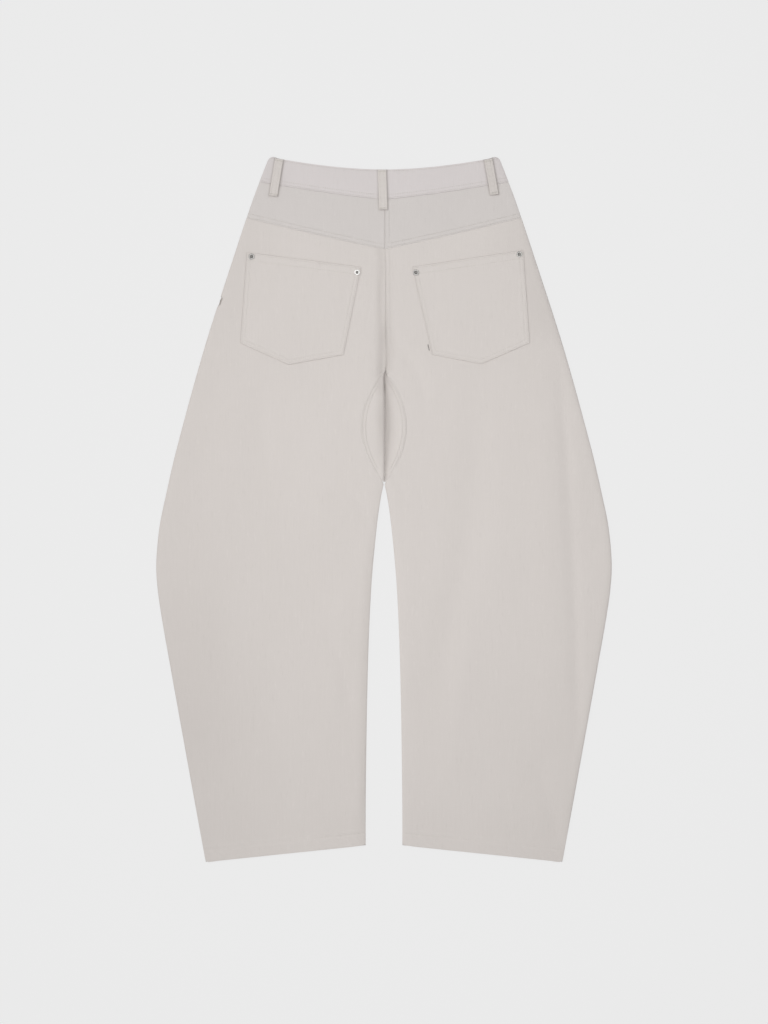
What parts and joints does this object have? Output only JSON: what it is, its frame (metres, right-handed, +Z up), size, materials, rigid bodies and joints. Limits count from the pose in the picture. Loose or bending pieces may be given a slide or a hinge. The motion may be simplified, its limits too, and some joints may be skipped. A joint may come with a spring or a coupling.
{
  "type": "barrel leg trousers",
  "caption": "Barrel leg trousers in heavy cotton twill, laid flat on their front, with yoke, patch pockets, belt loops and a crotch gusset.",
  "frame": {"origin": "on the surface that the trousers lie on, under the middle of their box", "axes": "+Z up out of the surface, +Y along the legs to the waist, +X to the wearer's right side"},
  "size_m": [0.682, 1.0565, 0.0094],
  "materials": {
    "twill": "matte heavy cotton twill, ecru",
    "zip_tape": "woven zip tape, ecru",
    "rivet_metal": "nickel plated, satin"
  },
  "bodies": {
    "root": {"front_leg_left": "twill", "pocket_facing_left": "twill", "waistband_front_left": "twill", "belt_loop_front_left": "twill", "back_leg_left": "twill", "yoke_left": "twill", "back_pocket_left": "twill", "front_leg_right": "twill", "pocket_facing_right": "twill", "waistband_front_right": "twill", "belt_loop_front_right": "twill", "back_leg_right": "twill", "yoke_right": "twill", "back_pocket_right": "twill", "waistband_back": "twill", "crotch_gusset": "twill", "belt_loop_back_centre": "twill", "belt_loop_back_left": "twill", "belt_loop_back_right": "twill", "fly_zip": "zip_tape", "waist_button": "rivet_metal", "rivet_left_outer": "rivet_metal", "rivet_left_inner": "rivet_metal", "rivet_right_inner": "rivet_metal", "rivet_right_outer": "rivet_metal", "rivet_side_left": "rivet_metal", "rivet_side_right": "rivet_metal"}
  },
  "joints": []
}
